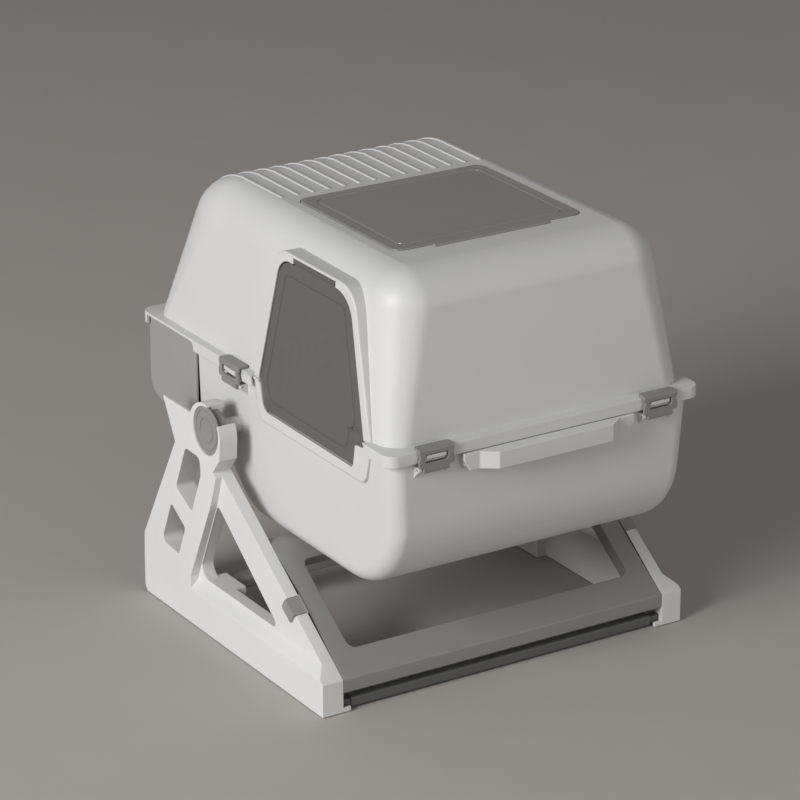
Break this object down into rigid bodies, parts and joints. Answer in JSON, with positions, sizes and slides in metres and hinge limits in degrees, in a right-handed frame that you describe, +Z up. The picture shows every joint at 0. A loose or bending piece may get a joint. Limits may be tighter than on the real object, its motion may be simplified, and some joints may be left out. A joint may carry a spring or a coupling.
{
  "type": "covered litter box",
  "caption": "Covered litter box whose tub and hood roll back on side pivots in an A-frame stand, with a swinging side flap, a roof window and a waste drawer.",
  "frame": {"origin": "middle of the object's width and depth, on the floor under the rubber pads", "axes": "+X across to the right seen from the front, +Y from the grip towards the drawer, +Z up"},
  "size_m": [0.5, 0.585, 0.5272],
  "materials": {
    "white_frame": "satin moulded",
    "white_tub": "satin moulded",
    "white_hood": "satin moulded",
    "white_grate": "satin moulded",
    "grey_frame": "satin moulded",
    "dark_frame": "satin moulded",
    "grey_drawer": "satin moulded",
    "grey_knob": "satin moulded",
    "grey_clip": "satin moulded",
    "smoky_clear": "smoked clear, lightly frosted",
    "steel_pin": "plated",
    "rubber_pad": "matt"
  },
  "bodies": {
    "stand": {"side_frame_left": "white_frame", "side_frame_right": "white_frame", "front_cross_frame": "grey_frame", "front_sill_bar": "dark_frame", "rear_cross_bar": "grey_frame", "rubber_feet": "rubber_pad"},
    "drum": {"litter_tub": "white_tub", "sieve_grate": "white_grate", "hood": "white_hood", "entry_flap_pin": "steel_pin", "top_window_pin": "steel_pin", "pivot_knob_left": "grey_knob", "pivot_knob_right": "grey_knob", "pivot_screws": "steel_pin", "front_handle": "white_tub", "handle_screws": "steel_pin", "latch_pins": "steel_pin"},
    "flap": {"entry_flap": "smoky_clear"},
    "window": {"top_window": "smoky_clear"},
    "drawer": {"waste_drawer": "grey_drawer"},
    "clip_front_left": {"latch_front_left": "grey_clip"},
    "clip_front_right": {"latch_front_right": "grey_clip"},
    "clip_side_left": {"latch_side_left": "grey_clip"},
    "clip_side_right": {"latch_side_right": "grey_clip"}
  },
  "joints": [
    {"name": "tub_roll", "type": "hinge", "parent": "stand", "child": "drum", "pos_m": [0, 0.0735, 0.26], "axis": [1, 0, 0], "range_deg": [-90, 0]},
    {"name": "entry_flap_swing", "type": "hinge", "parent": "drum", "child": "flap", "pos_m": [-0.19569, -0.09775, 0.49826], "axis": [0, 1, 0], "range_deg": [-70, 70]},
    {"name": "roof_window_lift", "type": "hinge", "parent": "drum", "child": "window", "pos_m": [0, -0.1575, 0.5238], "axis": [1, 0, 0], "range_deg": [0, 105]},
    {"name": "drawer_slide", "type": "slide", "parent": "drum", "child": "drawer", "axis": [0, 1, 0], "range_m": [0, 0.11]},
    {"name": "clip_front_left_turn", "type": "hinge", "parent": "drum", "child": "clip_front_left", "pos_m": [-0.151, -0.273, 0.3154], "axis": [1, 0, 0], "range_deg": [0, 90]},
    {"name": "clip_front_right_turn", "type": "hinge", "parent": "drum", "child": "clip_front_right", "pos_m": [0.151, -0.273, 0.3154], "axis": [1, 0, 0], "range_deg": [0, 90]},
    {"name": "clip_side_left_turn", "type": "hinge", "parent": "drum", "child": "clip_side_left", "pos_m": [-0.2095, 0.0695, 0.3154], "axis": [0, -1, 0], "range_deg": [0, 90]},
    {"name": "clip_side_right_turn", "type": "hinge", "parent": "drum", "child": "clip_side_right", "pos_m": [0.2095, 0.0695, 0.3154], "axis": [0, 1, 0], "range_deg": [0, 90]}
  ]
}
